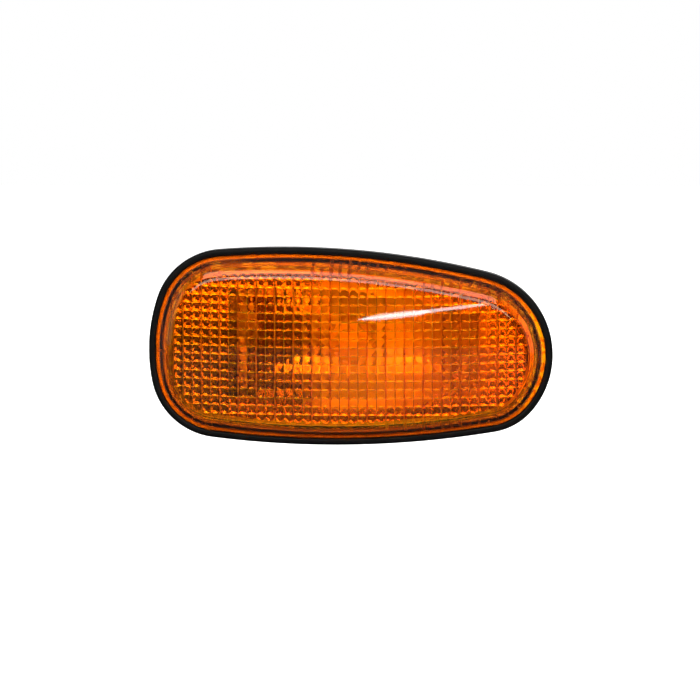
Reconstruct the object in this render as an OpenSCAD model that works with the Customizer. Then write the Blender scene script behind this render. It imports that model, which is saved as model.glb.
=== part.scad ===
// Side indicator lamp with an amber lens, for a car's front wing.
// The lens looks along -Y, +X is to the right as seen from the front and +Z is up.
// The origin is on the body panel's outer face, on the axis of the bulb.

/* [Lamp] */
// Length over the rubber seal
lamp_len = 104; // [90:1:125]
// Height over the rubber seal
lamp_h = 51; // [45:0.5:62]
// How far the crown of the lens stands in front of the panel
lens_rise = 13; // [13:0.5:19]

/* [Lens] */
// Thickness of the lens wall
lens_wall = 2; // [1.6:0.1:2.6]
// How far in the curved side of the lens reaches from its foot
shoulder_w = 5.75; // [4:0.25:6.5]
// How far the front falls back from the crown to each end
end_fall = 4; // [2:0.25:5.5]
// How far the front falls back from the crown to the top and the bottom
edge_fall = 2; // [1:0.25:3]
// Width of one optic pillow
pillow_w = 2.36; // [2:0.02:3.4]
// Height of one optic pillow
pillow_h = 2.15; // [1.8:0.05:3.2]
// Height of a pillow's crown over its corners
pillow_relief = 0.45; // [0.2:0.05:0.6]

/* [Seal] */
// Width of the rubber bead that shows round the lens
bead_w = 1.9; // [1.5:0.1:2.6]
// Height of the bead over the panel
bead_h = 4.6; // [4:0.1:6]
// Width of the seal's foot on the panel
foot_w = 5; // [4:0.25:5.5]
// Thickness of the foot under the flange
foot_t = 1; // [0.7:0.1:1.6]

/* [Housing] */
// Thickness of the housing's flange
flange_t = 1.6; // [1.2:0.1:2.2]
// Thickness of the tub's walls
tub_wall = 1.8; // [1.4:0.1:2.4]
// Distance from the panel to the back of the tub
tub_depth = 17; // [16:0.5:24]
// Length of the tub to the left of the bulb
tub_left = 34; // [28:0.5:36]
// Room between the right end of the tub and the latch finger
latch_room = 5.1; // [4.1:0.1:11.1]
// Thickness of the body panel that the lamp clips into
panel_t = 0.9; // [0.7:0.05:1.4]
// Width of the latch finger and of the hook
latch_w = 10; // [7:0.5:14]

/* [Bulb holder] */
// Diameter of the hole for the bulb holder
bore_d = 19; // [18:0.25:22]
// Width of the holder's seal ring, outside the lugs
holder_seal_w = 2.1; // [1.1:0.1:4.6]
// Turn between locked and free
twist = 45; // [38:1:52]
// Length of the connector socket
socket_len = 13; // [11:0.5:18]
// Distance between the two blades
blade_pitch = 8; // [7:0.25:8.5]

/* [Bulb] */
// Diameter of the bulb's glass
bulb_d = 10; // [9:0.25:11]
// Length of the bulb over its wedge base
bulb_len = 26.8; // [25:0.2:28]

/* [Hidden] */
$fn = 64;

// The outline is a chain of seven tangent arcs, drawn at this nominal size and then stretched.
form_len = 104;
form_h = 51;
tip_r = 22;
low_r = 16;
corner_r = 18;
end_r = 42;
top_r = 220;
bottom_r = 250;
top_x = -17;
bottom_x = -5;
end_z = -1;
arc_step = 9;
chord = 6.5;

// Fits and clearances
lap = 0.5;
past = 1;
side_steps = [0, 0.2, 0.4, 0.6, 0.8, 1];
side_drop = 0.25;
field_share = 0.525;
skin_t = 0.12;
crown_at = [0.5, 0.28];
front_steps = [0.75, 0.5, 0.25];
panel_gap = 0.5;
cutout_in = 7.5;
seat_gap = 0.4;
run_gap = 0.05;
lug_gap = 0.1;
hook_reach = 3;
hook_gap = 0.3;
hook_t = 2.4;
hook_bevel = 0.4;
gusset_h = 7;
gusset_in = 1;
latch_gap = 0.4;
barb_reach = 1.6;
barb_nose = 0.6;
barb_run = 8;
rib_places = [-22, 0, 22];
rib_root = 0.6;
rib_t = 1.2;
rib_gap = 0.1;
boss_w = 3.4;
lug_stop = 0.2;
glass_gap = 1;
bowl_gap = 0.2;
gusset_t = 1.4;
latch_t = 1.6;
latch_set = 3.4;
fit_gap = 0.05;
base_gap = 0.1;
lug_rise = 1.9;
notch_gap = 0.25;
holder_seal_gap = 0.5;
holder_lip = 1.5;

// Levels along Y, from the panel's outer face
flange_back = -foot_t;
flange_front = flange_back - flange_t;
tub_back = tub_depth;
floor_t = 2;
barrel_room = 2.8;
floor_front = tub_back - floor_t;
reflector_t = 1.2;
reflector_front = flange_front - reflector_t;
reflector_back = floor_front - barrel_room;
seal_t = 1.5;
holder_front = tub_back + run_gap + seal_t;
holder_t = 2.4;
holder_back = holder_front + holder_t;
web_t = 2.5;
web_back = holder_back + web_t;
rib_end = 10.2;
socket_back = holder_back + socket_len;
lug_back = floor_front - lug_gap;
lug_t = 1.8;
barrel_front = lug_back - lug_t - lug_stop;
base_depth = 4;
base_end = tub_back + base_depth;
bulb_tip = base_end - bulb_len;

// Insets from the outer edge of the seal
flange_in = 1.2;
lens_in = bead_w;
cavity_in = lens_in + lens_wall;
field_in = cavity_in + field_share * (shoulder_w - lens_wall);
side_y = side_drop - bead_h;
tub_in = cutout_in + panel_gap;
pocket_in = tub_in + tub_wall;
rim_in = cavity_in + seat_gap;

// The latch finger stands in the right end of the panel's hole, and the tub ends beside it
latch_x = lamp_len / 2 - cutout_in - latch_set;
tub_right = latch_x - latch_room;

// Bayonet, connector and bulb
bore_r = bore_d / 2;
barrel_r = bore_r - run_gap;
lug_r = bore_r + lug_rise;
holder_seal_r = lug_r + holder_seal_gap;
holder_flange_d = 2 * (holder_seal_r + holder_seal_w + holder_lip);
lug_angle = 26;
notch_angle = 33;
lug_places = [90, 210, 330];
stop_turn = 7;
stop_in = 0.3;
stop_out = 1.2;
stop_w = 1.6;
glass_hole_r = bulb_d / 2 + glass_gap;
socket_w = 17;
socket_h = 11;
socket_wall = 1.5;
blade_t = 0.8;
blade_w = 2.8;
blade_end = socket_back - 2;
grip_w = 1.8;
grip_t = 0.5;
grip_in = 1.5;
grip_wing_x = 9.9;
grip_wing_t = 2.2;
grip_wing_h = 10;
grip_wing_l = 5;
key_w = 5;
key_l = 2.5;
key_at = 4;
key_rise = 1.5;
base_w = bulb_d - 0.8;
base_t = 4.6;
base_front = base_end - 9;
glass_t = 0.7;
wire_r = 0.25;
wire_x = 2.5;
lead_run = 6;
pinch_t = 1.5;
nest_t = base_t / 2 + 2 * wire_r;
nest_end = base_end + wire_r;
filament_in = 7.5;
filament_y = bulb_tip + filament_in;
filament_r = 0.35;

black = "#161616";
rubber = "#1c1c1e";
amber = "#f07a10";
metal = "#c9c9cc";
brass = "#c8a24a";
grey = "#4a4a4c";
glass = "#dfe8ea";

// Unit vector at an angle, and the angle of a vector
function ray(a) = [cos(a), sin(a)];
function heading(v) = atan2(v[1], v[0]);

// Centre at distance ra from a and rb from b, on the left of the line from a to b
function meet(a, ra, b, rb) =
    let (d = norm(b - a), u = (b - a) / d,
        k = (d * d + ra * ra - rb * rb) / (2 * d),
        h = sqrt(max(0, ra * ra - k * k)))
    a + k * u + h * [-u[1], u[0]];

// The big arcs touch the overall size, and the small ones roll inside them
top_c = [top_x, form_h / 2 - top_r];
bottom_c = [bottom_x, bottom_r - form_h / 2];
end_c = [end_r - form_len / 2, end_z];
tip_x = form_len / 2 - tip_r;
tip_c = [tip_x, top_c[1] + sqrt(pow(top_r - tip_r, 2) - pow(tip_x - top_x, 2))];
low_c = meet(bottom_c, bottom_r - low_r, tip_c, tip_r - low_r);
upper_c = meet(top_c, top_r - corner_r, end_c, end_r - corner_r);
lower_c = meet(end_c, end_r - corner_r, bottom_c, bottom_r - corner_r);

arc_centres = [low_c, tip_c, top_c, upper_c, end_c, lower_c, bottom_c];
arc_radii = [low_r, tip_r, top_r, corner_r, end_r, corner_r, bottom_r];
arc_turns = [
    heading(low_c - bottom_c), heading(low_c - tip_c), heading(tip_c - top_c),
    heading(upper_c - top_c), heading(upper_c - end_c),
    heading(lower_c - end_c) + 360, heading(lower_c - bottom_c) + 360,
    heading(low_c - bottom_c) + 360];

function arc_steps(i) =
    let (span = arc_turns[i + 1] - arc_turns[i])
    max(2, ceil(span / arc_step), ceil(span * arc_radii[i] * PI / 180 / chord));

stretch = [lamp_len / form_len, lamp_h / form_h];

// Points of the outline moved inwards by an inset, anticlockwise as seen from the front
function outline(inset) = [for (i = [0 : 6], k = [0 : arc_steps(i) - 1])
    let (a = arc_turns[i] + (arc_turns[i + 1] - arc_turns[i]) * k / arc_steps(i),
        p = arc_centres[i] + arc_radii[i] * ray(a),
        n = [cos(a) / stretch[0], sin(a) / stretch[1]])
    [p[0] * stretch[0], p[1] * stretch[1]] - inset * n / norm(n)];

// The tub's outline is cut off straight at both ends
function tub_line(inset) = [for (p = outline(inset))
    [min(max(p[0], inset - tub_in - tub_left), tub_right + tub_in - inset), p[1]]];

// Front of the lens as a shallow dome over the outline's plane
function front_y(p) = -lens_rise + end_fall * pow(2 * p[0] / lamp_len, 2)
    + edge_fall * pow(2 * p[1] / lamp_h, 2);

// Rings of points, at a fixed level or at a depth behind the lens's front
function level_ring(line, y) = [for (p = line) [p[0], y, p[1]]];
function dome_ring(line, back) = [for (p = line) [p[0], front_y(p) + back, p[1]]];
function shrink(line, k) = [for (p = line) p * k];
function round_line(line, r) = [for (p = line) r * p / norm(p)];
function mix(a, b, t) = [for (i = [0 : len(a) - 1]) a[i] * (1 - t) + b[i] * t];
function flat(rings) = [for (r = rings, p = r) p];

// Rings of the curved side, a parabola from a slanting foot at level y0 up to the front
function side_rings(inset, w, y0, back) = [for (s = side_steps)
    [for (p = outline(inset + w * s))
        [p[0], y0 + (front_y(p) + back - y0) * s * (2 - s), p[1]]]];

// Slab between two levels along Y, drawn as seen from the front
module slab(y0, y1) {
    translate([0, y1, 0]) rotate([90, 0, 0]) linear_extrude(y1 - y0) children();
}

module disc(r, y0, y1) {
    slab(y0, y1) circle(r);
}

module box(x0, x1, y0, y1, z0, z1) {
    translate([x0, y0, z0]) cube([x1 - x0, y1 - y0, z1 - z0]);
}

// Solid through rings that close into a loop, such as a bead or a bowl with a hole
module loop_solid(rings) {
    n = len(rings[0]);
    m = len(rings);
    polyhedron(flat(rings), [for (j = [0 : m - 1], i = [0 : n - 1])
        let (u = (j + 1) % m, v = (i + 1) % n)
        [j * n + i, u * n + i, u * n + v, j * n + v]], 4);
}

// Solid through rings from a flat base to a crown point
module dome_solid(rings, crown) {
    n = len(rings[0]);
    m = len(rings);
    polyhedron(concat(flat(rings), [crown]), concat(
        [[for (i = [0 : n - 1]) i]],
        [for (j = [0 : m - 2], i = [0 : n - 1])
            let (v = (i + 1) % n)
            [j * n + i, (j + 1) * n + i, (j + 1) * n + v, j * n + v]],
        [for (i = [0 : n - 1]) [(m - 1) * n + i, m * n, (m - 1) * n + (i + 1) % n]]), 4);
}

// Domed body: a straight foot, the curved side and the shallow front
module lens_form(inset, base, w, y0, back) {
    dome_solid(concat(
        [level_ring(outline(inset), base)],
        side_rings(inset, w, y0, back),
        [for (k = front_steps) dome_ring(shrink(outline(inset + w), k), back)]),
        [0, front_y([0, 0]) + back, 0]);
}

// Corner of the pillow grid, counted in columns and rows from the middle
function grid(i, j) = [i * pillow_w, j * pillow_h];

// One pillow: a pyramid whose crown lies low in its cell, on the inner face of the lens
module pillow(i, j) {
    root = lens_wall * 0.6;
    skin = lens_wall + skin_t;
    corners = [grid(i, j), grid(i + 1, j), grid(i + 1, j + 1), grid(i, j + 1)];
    top = grid(i + crown_at[0], j + crown_at[1]);
    hull() polyhedron(concat(
        [for (c = corners) [c[0], front_y(c) + root, c[1]]],
        [for (c = corners) [c[0], front_y(c) + skin, c[1]]],
        [[top[0], front_y(top) + skin + pillow_relief, top[1]]]),
        [[0, 1, 2, 3], [0, 4, 5, 1], [1, 5, 6, 2], [2, 6, 7, 3], [3, 7, 4, 0],
            [4, 8, 5], [5, 8, 6], [6, 8, 7], [7, 8, 4]]);
}

columns = ceil((lamp_len / 2 - field_in) / pillow_w);
rows = ceil((lamp_h / 2 - field_in) / pillow_h);

module pillow_field() {
    intersection() {
        for (i = [-columns : columns - 1], j = [-rows : rows - 1])
            pillow(i, j);
        slab(-lens_rise, 0) polygon(outline(field_in));
    }
}

module lens() {
    color(amber, 0.9) {
        difference() {
            lens_form(lens_in, flange_front, shoulder_w, side_y, 0);
            lens_form(cavity_in, flange_front + past, shoulder_w - lens_wall,
                side_y + lens_wall / 2, lens_wall);
        }
        pillow_field();
    }
}

module seal() {
    color(rubber) {
        slab(-foot_t, 0) difference() {
            polygon(outline(0));
            polygon(outline(foot_w));
        }
        loop_solid([
            for (q = [[0, -foot_t], [0, 1.2 - bead_h], [0.18, 0.6 - bead_h], [0.6, 0.15 - bead_h],
                [1.1, -bead_h], [bead_w, 0.25 - bead_h], [bead_w, flange_front],
                [flange_in, flange_front], [flange_in, -foot_t]])
            level_ring(outline(q[0]), q[1])]);
    }
}

// Wedge from the middle, wider than the lugs reach
module sector(angle) {
    polygon([[0, 0], for (s = [-1, 1]) 2 * lug_r * ray(s * angle / 2)]);
}

// Hole for the holder: a bore with three notches that the lugs pass through
module bayonet_hole() {
    circle(bore_r);
    for (a = lug_places)
        intersection() {
            circle(lug_r + notch_gap);
            rotate(a - twist) sector(notch_angle);
        }
}

// Fixed hook behind the panel at the left end, on three gussets
module hook() {
    root = lap - tub_left;
    edge = -tub_left - hook_reach;
    y = panel_t + hook_gap;
    z = end_z - latch_w / 2;
    translate([0, 0, z]) linear_extrude(latch_w)
        polygon([[edge, y + hook_bevel], [edge + 2 * hook_bevel, y], [root, y], [root, y + hook_t],
            [edge, y + hook_t]]);
    for (s = [0, 0.5, 1])
        translate([0, 0, z + s * (latch_w - gusset_t)]) linear_extrude(gusset_t)
            polygon([[edge, y + gusset_in], [root, y + gusset_in], [root, y + gusset_h],
                [edge, y + hook_t]]);
}

// Springy finger at the right end, with a barb that snaps behind the panel
module latch() {
    arm = latch_x;
    back = arm + latch_t;
    tip = lamp_len / 2 - cutout_in + barb_reach;
    root = tub_right - past;
    y = panel_t + latch_gap;
    translate([0, 0, tip_c[1] - latch_w / 2]) linear_extrude(latch_w)
        polygon([[arm, y], [back + barb_nose, y], [tip, y + barb_reach], [tip, y + hook_t],
            [back, y + barb_run], [back, tub_back], [root, tub_back], [root, floor_front],
            [arm, floor_front]]);
}

// Ribs that centre the tub in the panel's hole
module centring_ribs() {
    for (x = rib_places, s = [-1, 1])
        intersection() {
            box(x - rib_t / 2, x + rib_t / 2, flange_back - lap, rib_end,
                min(s, 0) * lamp_h / 2, max(s, 0) * lamp_h / 2);
            slab(flange_back - past, tub_back) difference() {
                polygon(outline(cutout_in + rib_gap));
                polygon(outline(tub_in + rib_root));
            }
        }
}

module housing() {
    color(black)
        difference() {
            union() {
                slab(flange_front, flange_back) polygon(outline(flange_in));
                slab(flange_back - lap, tub_back) polygon(tub_line(tub_in));
                disc(bore_r + boss_w, floor_front - lap, tub_back);
                centring_ribs();
                hook();
                latch();
            }
            difference() {
                slab(flange_front - past, floor_front) polygon(tub_line(pocket_in));
                rotate([0, -lug_places[0] - lug_angle / 2 - stop_turn, 0])
                    box(bore_r + stop_in, lug_r + stop_out, lug_back - lug_t, floor_front + past,
                        -stop_w / 2, stop_w / 2);
            }
            slab(floor_front - past, tub_back + past) bayonet_hole();
        }
}

// Bowl between the tub's outline and the round hole for the bulb
function bowl(inset, lift, hole) = [for (k = [0 : 5])
    let (t = k * 18, line = tub_line(inset))
    level_ring(mix(line, round_line(line, hole), 1 - cos(t)),
        reflector_front + lift + (reflector_back - reflector_t - reflector_front) * sin(t))];

module reflector() {
    front = bowl(pocket_in + bowl_gap + reflector_t, 0, glass_hole_r);
    back = bowl(pocket_in + bowl_gap, reflector_t, glass_hole_r);
    color(metal)
        loop_solid(concat(
            [level_ring(outline(rim_in), flange_front), level_ring(outline(rim_in), reflector_front)],
            front,
            [for (k = [5 : -1 : 0]) back[k]]));
}

// Shape of one contact, grown by a gap where it is used as a cutter
module contact_form(gap) {
    x = blade_pitch / 2;
    box(-x - blade_t / 2 - gap, -x + blade_t / 2 + gap, nest_end - gap, blade_end,
        -blade_w / 2 - gap, blade_w / 2 + gap);
    box(-x - blade_t / 2 - gap, -wire_x + grip_w / 2 + gap, nest_end - gap,
        nest_end + blade_t + gap, -blade_t / 2 - gap, nest_t + grip_t + gap);
    box(-wire_x - grip_w / 2 - gap, -wire_x + grip_w / 2 + gap, base_front + grip_in - gap,
        nest_end + blade_t + gap, nest_t - gap, nest_t + grip_t + gap);
}

module contact_left() {
    color(brass) contact_form(0);
}

module contact_right() {
    color(brass) rotate([0, 180, 0]) contact_form(0);
}

module bulb_holder() {
    color(grey)
        difference() {
            union() {
                disc(barrel_r, barrel_front, holder_front + past);
                for (a = lug_places)
                    slab(lug_back - lug_t, lug_back) intersection() {
                        circle(lug_r);
                        rotate(a) sector(lug_angle);
                    }
                disc(holder_flange_d / 2, holder_front, holder_back);
                box(-socket_w / 2, socket_w / 2, holder_back - lap, socket_back,
                    -socket_h / 2, socket_h / 2);
                for (s = [-1, 1])
                    box(s * grip_wing_x - grip_wing_t / 2, s * grip_wing_x + grip_wing_t / 2,
                        holder_back - lap, holder_back + grip_wing_l, -grip_wing_h / 2, grip_wing_h / 2);
                box(-key_w / 2, key_w / 2, holder_back + key_at, holder_back + key_at + key_l,
                    socket_h / 2 - lap, socket_h / 2 + key_rise);
            }
            box(-base_w / 2 - base_gap, base_w / 2 + base_gap, barrel_front - past, nest_end,
                -nest_t, nest_t);
            disc(bulb_d / 2 + 2 * base_gap, barrel_front - past, base_front + 3 * base_gap);
            contact_form(fit_gap);
            rotate([0, 180, 0]) contact_form(fit_gap);
            box(-socket_w / 2 + socket_wall, socket_w / 2 - socket_wall, web_back, socket_back + past,
                -socket_h / 2 + socket_wall, socket_h / 2 - socket_wall);
        }
}

module holder_seal() {
    color("#7a2f26")
        difference() {
            disc(holder_seal_r + holder_seal_w, tub_back + run_gap, holder_front);
            disc(holder_seal_r, tub_back, holder_front + past);
        }
}

// One lead: up through the pinch to the filament, over the end of the base and back along its face
module lead() {
    fold_z = base_t / 2 + wire_r;
    back = base_end - lead_run;
    translate([-wire_x, filament_y, 0]) rotate([-90, 0, 0])
        cylinder(h = base_end - filament_y, r = wire_r);
    translate([-wire_x, base_end, 0]) cylinder(h = fold_z, r = wire_r);
    translate([-wire_x, back, fold_z]) rotate([-90, 0, 0]) cylinder(h = base_end - back, r = wire_r);
    for (z = [0, fold_z])
        translate([-wire_x, base_end, z]) sphere(wire_r);
}

module bulb_lead_left() {
    color(metal) lead();
}

module bulb_lead_right() {
    color(metal) rotate([0, 180, 0]) lead();
}

// Round glass with a pressed wedge base
module bulb_glass() {
    r = bulb_d / 2;
    color(glass, 0.6)
        difference() {
            union() {
                translate([0, bulb_tip + r, 0]) rotate([-90, 0, 0])
                    cylinder(h = base_front - bulb_tip - r, r = r);
                translate([0, bulb_tip + r, 0]) sphere(r);
                box(-base_w / 2, base_w / 2, base_front - past, base_end, -base_t / 2, base_t / 2);
            }
            translate([0, bulb_tip + r, 0])
                rotate([-90, 0, 0]) cylinder(h = base_front - bulb_tip - r - pinch_t, r = r - glass_t);
            translate([0, bulb_tip + r, 0]) sphere(r - glass_t);
            lead();
            rotate([0, 180, 0]) lead();
        }
}

module bulb_filament() {
    color("#6b6b70")
        translate([-wire_x + wire_r, filament_y + wire_r, 0])
            rotate([0, 90, 0]) cylinder(h = 2 * (wire_x - wire_r), r = filament_r);
}

lens();
housing();
seal();
reflector();
bulb_holder();
holder_seal();
contact_left();
contact_right();
bulb_glass();
bulb_filament();
bulb_lead_left();
bulb_lead_right();
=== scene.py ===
"""Side indicator lamp: smooth pieces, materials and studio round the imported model."""
import math

import bmesh
import bpy
import numpy as np
from bpy.props import FloatProperty, FloatVectorProperty, PointerProperty
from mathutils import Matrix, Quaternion, Vector


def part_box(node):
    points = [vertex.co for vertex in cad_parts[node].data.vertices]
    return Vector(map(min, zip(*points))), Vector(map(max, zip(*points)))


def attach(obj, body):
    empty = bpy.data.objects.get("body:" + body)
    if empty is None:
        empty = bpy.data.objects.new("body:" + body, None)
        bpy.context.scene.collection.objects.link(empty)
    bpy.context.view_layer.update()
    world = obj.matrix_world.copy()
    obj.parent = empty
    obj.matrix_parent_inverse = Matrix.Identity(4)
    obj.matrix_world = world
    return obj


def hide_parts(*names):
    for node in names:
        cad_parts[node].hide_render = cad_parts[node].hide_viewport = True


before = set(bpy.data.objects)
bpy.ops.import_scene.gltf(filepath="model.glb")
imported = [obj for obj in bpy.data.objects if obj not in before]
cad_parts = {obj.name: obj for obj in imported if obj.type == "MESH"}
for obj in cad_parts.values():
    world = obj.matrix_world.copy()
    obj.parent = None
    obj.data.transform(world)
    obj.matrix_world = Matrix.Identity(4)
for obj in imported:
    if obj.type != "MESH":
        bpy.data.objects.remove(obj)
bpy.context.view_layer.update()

bl_info = {
    "name": "Side Indicator Lamp",
    "version": (1, 0, 0),
    "blender": (4, 5, 0),
    "location": "View3D > Sidebar > Lamp",
    "description": "Builds the pieces, finishes and studio of a car's side indicator lamp",
    "category": "Object",
}

MM = 0.001

# Arcs of the outline, drawn at 104 x 51 mm and then stretched
FORM_LEN, FORM_H = 104.0, 51.0
TIP_R, LOW_R, CORNER_R, END_R, TOP_R, BOTTOM_R = 22.0, 16.0, 18.0, 42.0, 220.0, 250.0
TOP_X, BOTTOM_X, END_Z = -17.0, -5.0, -1.0
TURN_STEP = 1.5
LENGTH_STEP = 0.8

# Insets from the outer edge of the seal, and levels along Y, in mm
FLANGE_IN = 1.2
TUB_IN = 8.0
POCKET_IN = 9.8
RIM_IN = 4.1
FLANGE_FRONT = -2.6
FLANGE_BACK = -1.0
REFLECTOR_FRONT = -3.8
REFLECTOR_BACK = 12.2

# Lengths in mm: thickness, rim and hole of the reflector, its bowl's gap in the pocket, and how
# far the tub reaches to each side of the middle
REFLECTOR_T = 1.2
RIM_WIDTH = 3.2
HOLE_R = 6.0
BOWL_GAP = 0.2
TUB_LEFT, TUB_RIGHT = 34.0, 36.0

# The lens's side starts this far under the top of the bead, its foot ends this far in front of
# the flange, and the pillows start at this share of the side's inner width
SIDE_DROP = 0.25
WELD_GAP = 0.03
FIELD_SHARE = 0.525

# Shape of the pillows: how high in its cell a crown lies, at which share of the wall their slab
# starts, how far behind the wall it ends, and how far from the middle the rows' rise is measured
PILLOW_CROWN = 0.28
ROOT_SHARE = 0.6
SKIN = 0.12
ROW_RISE_AT = 48.0

# Shape of the bead across its width: how far its two sides drop, where its flat top starts and
# ends, and how round each corner of the seal's profile is
BEAD_OUTER_DROP, BEAD_INNER_DROP = 0.55, 0.4
BEAD_TOP_START, BEAD_TOP_END = 0.35, 1.45
SEAL_ROUNDS = (0.12, 0.5, 0.45, 0.45, 0.3, 0, 0, 0, 0.12, 0.12)

# Ripples on the inner face of the lens's side: their height in mm and their number
RIPPLE, RIPPLES = 0.045, 5

# Width in metres and least angle in degrees of the rounded edges on the bulb's glass
GLASS_ROUND, GLASS_ANGLE = 0.0001, 50

# Filament: turns of its coil, steps in a turn, radius of its wire in mm, and a direction that no
# part of the coil follows
COIL_TURNS, COIL_STEPS, WIRE_R = 11, 18, 0.06
TUBE_GUIDE = (0.0, 0.31, 0.95)


def length(name, text, default):
    """A size property in metres, shown as a length."""
    return FloatProperty(name=name, description=text, default=default, min=0.00005, unit="LENGTH",
                         precision=5)


def colour(name, text, default):
    """A linear colour property."""
    return FloatVectorProperty(name=name, description=text, default=default, size=3, min=0.0,
                               max=1.0, subtype="COLOR")


class LampSizes(bpy.types.PropertyGroup):
    """Sizes of the lamp that a user would change"""
    lamp_length: length("Length", "Length over the rubber seal", 0.104)
    lamp_height: length("Height", "Height over the rubber seal", 0.051)
    lens_rise: length("Lens rise", "How far the lens stands in front of the panel", 0.013)
    end_fall: length("End fall", "How far the front falls back to each end", 0.004)
    edge_fall: length("Edge fall", "How far the front falls back to the top and bottom", 0.002)
    lens_wall: length("Lens wall", "Thickness of the lens wall", 0.002)
    side_width: length("Side width", "How far in the curved side of the lens reaches", 0.00575)
    pillow_width: length("Pillow width", "Width of one optic pillow", 0.00236)
    pillow_height: length("Pillow height", "Height of one optic pillow", 0.00215)
    pillow_relief: length("Pillow relief", "Height of a pillow's crown", 0.00045)
    groove: length("Groove", "Depth of the grooves between columns of pillows", 0.00008)
    row_rise: length("Row rise", "How far a row of pillows curves up at 48 mm from the middle", 0.0009)
    bead_width: length("Bead width", "Width of the rubber bead round the lens", 0.0019)
    bead_height: length("Bead height", "Height of the bead over the panel", 0.0046)
    foot_width: length("Foot width", "Width of the seal's foot on the panel", 0.005)
    edge_round: length("Edge round", "Width of the rounded edges on the moulded plastic", 0.00018)


class LampColours(bpy.types.PropertyGroup):
    """Colours of the lamp that a user would change"""
    amber: colour("Amber", "Tint of the lens", (1.0, 0.345, 0.0002))
    # The groove tint is painted shade: darker than the amber, in the grooves and along the foot of each row
    groove: colour("Groove", "Tint of the grooves between the pillows", (0.30, 0.035, 0.001))
    weld: colour("Weld", "Colour of the welded foot of the lens", (0.62, 0.24, 0.02))
    rubber: colour("Rubber", "Colour of the seal", (0.0035, 0.0035, 0.0037))
    housing: colour("Housing", "Colour of the housing", (0.016, 0.016, 0.017))
    holder: colour("Holder", "Colour of the bulb holder", (0.60, 0.60, 0.58))
    silicone: colour("Silicone", "Colour of the holder's seal ring", (0.20, 0.030, 0.018))
    bare: colour("Bare plastic", "Colour of the reflector where its coating is missing", (0.32, 0.44, 0.20))
    bright: colour("Bright metal", "Colour of the reflector's coating", (0.90, 0.90, 0.91))
    brass: colour("Brass", "Colour of the contacts", (0.72, 0.50, 0.20))
    floor: colour("Floor", "Colour of the studio floor", (0.86, 0.86, 0.86))


def sizes():
    """The sizes of this scene."""
    return bpy.context.scene.lamp_sizes


def colours():
    """The colours of this scene."""
    return bpy.context.scene.lamp_colours


# Outline and surfaces

def meet(a, ra, b, rb):
    """Centre at distance ra from a and rb from b: a + k u + h n, with k = (d^2 + ra^2 - rb^2) / 2d."""
    d = np.linalg.norm(b - a)
    u = (b - a) / d
    k = (d * d + ra * ra - rb * rb) / (2 * d)
    h = math.sqrt(max(0.0, ra * ra - k * k))
    return a + k * u + h * np.array([-u[1], u[0]])


def heading(v):
    """Angle of a vector in degrees."""
    return math.degrees(math.atan2(v[1], v[0]))


def arc_chain():
    """Centre, radius and angle of each point: seven arcs, each evenly cut to 1.5 degrees or 0.8 mm."""
    top = np.array([TOP_X, FORM_H / 2 - TOP_R])
    bottom = np.array([BOTTOM_X, BOTTOM_R - FORM_H / 2])
    end = np.array([END_R - FORM_LEN / 2, END_Z])
    tip_x = FORM_LEN / 2 - TIP_R
    tip = np.array([tip_x, top[1] + math.sqrt((TOP_R - TIP_R) ** 2 - (tip_x - TOP_X) ** 2)])
    low = meet(bottom, BOTTOM_R - LOW_R, tip, TIP_R - LOW_R)
    upper = meet(top, TOP_R - CORNER_R, end, END_R - CORNER_R)
    lower = meet(end, END_R - CORNER_R, bottom, BOTTOM_R - CORNER_R)
    turns = [heading(low - bottom), heading(low - tip), heading(tip - top), heading(upper - top),
             heading(upper - end), heading(lower - end) + 360, heading(lower - bottom) + 360,
             heading(low - bottom) + 360]
    centres, radii, angles = [], [], []
    chain = ((low, LOW_R), (tip, TIP_R), (top, TOP_R), (upper, CORNER_R), (end, END_R),
             (lower, CORNER_R), (bottom, BOTTOM_R))
    for (centre, radius), start, stop in zip(chain, turns, turns[1:]):
        n = int(max(4, math.ceil((stop - start) / TURN_STEP),
                    math.ceil(math.radians(stop - start) * radius / LENGTH_STEP)))
        centres.append(np.tile(centre, (n, 1)))
        radii.append(np.full(n, radius))
        angles.append(np.radians(np.linspace(start, stop, n, endpoint=False)))
    return np.concatenate(centres), np.concatenate(radii), np.concatenate(angles)


CHAIN = arc_chain()


def outline(inset):
    """Outline moved in by an inset: stretch (c + r (cos a, sin a)) - inset n, n the unit normal."""
    centre, radius, angle = CHAIN
    s = sizes()
    stretch = np.array([s.lamp_length / MM / FORM_LEN, s.lamp_height / MM / FORM_H])
    ray = np.stack([np.cos(angle), np.sin(angle)], 1)
    normal = ray / stretch
    normal /= np.linalg.norm(normal, axis=1, keepdims=True)
    return (centre + radius[:, None] * ray) * stretch - inset * normal


def tub_line(inset):
    """The outline cut off straight at both ends of the tub."""
    line = outline(inset)
    line[:, 0] = np.clip(line[:, 0], inset - TUB_IN - TUB_LEFT, TUB_RIGHT + TUB_IN - inset)
    return line


def front_y(x, z):
    """Front of the lens: -rise + end_fall (2x / length)^2 + edge_fall (2z / height)^2."""
    s = sizes()
    return (-s.lens_rise + s.end_fall * (2 * x * MM / s.lamp_length) ** 2
            + s.edge_fall * (2 * z * MM / s.lamp_height) ** 2) / MM


def ring(line, y):
    """Points of a line at a level along Y, which is a number or one value for each point."""
    return np.stack([line[:, 0], np.broadcast_to(y, len(line)), line[:, 1]], 1)


def dome_ring(line, back):
    """Points of a line at a depth behind the front of the lens."""
    return ring(line, front_y(line[:, 0], line[:, 1]) + back)


def signed_volume(points, faces):
    """Six times the enclosed volume: sum of a . (b x c) over the faces cut into triangles."""
    total = 0.0
    for quad in (4, 3):
        f = np.array([q for q in faces if len(q) == quad])
        if len(f):
            p = points[f]
            for k in range(1, quad - 1):
                total += np.einsum("ij,ij->i", p[:, 0], np.cross(p[:, k], p[:, k + 1])).sum()
    return total


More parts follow.
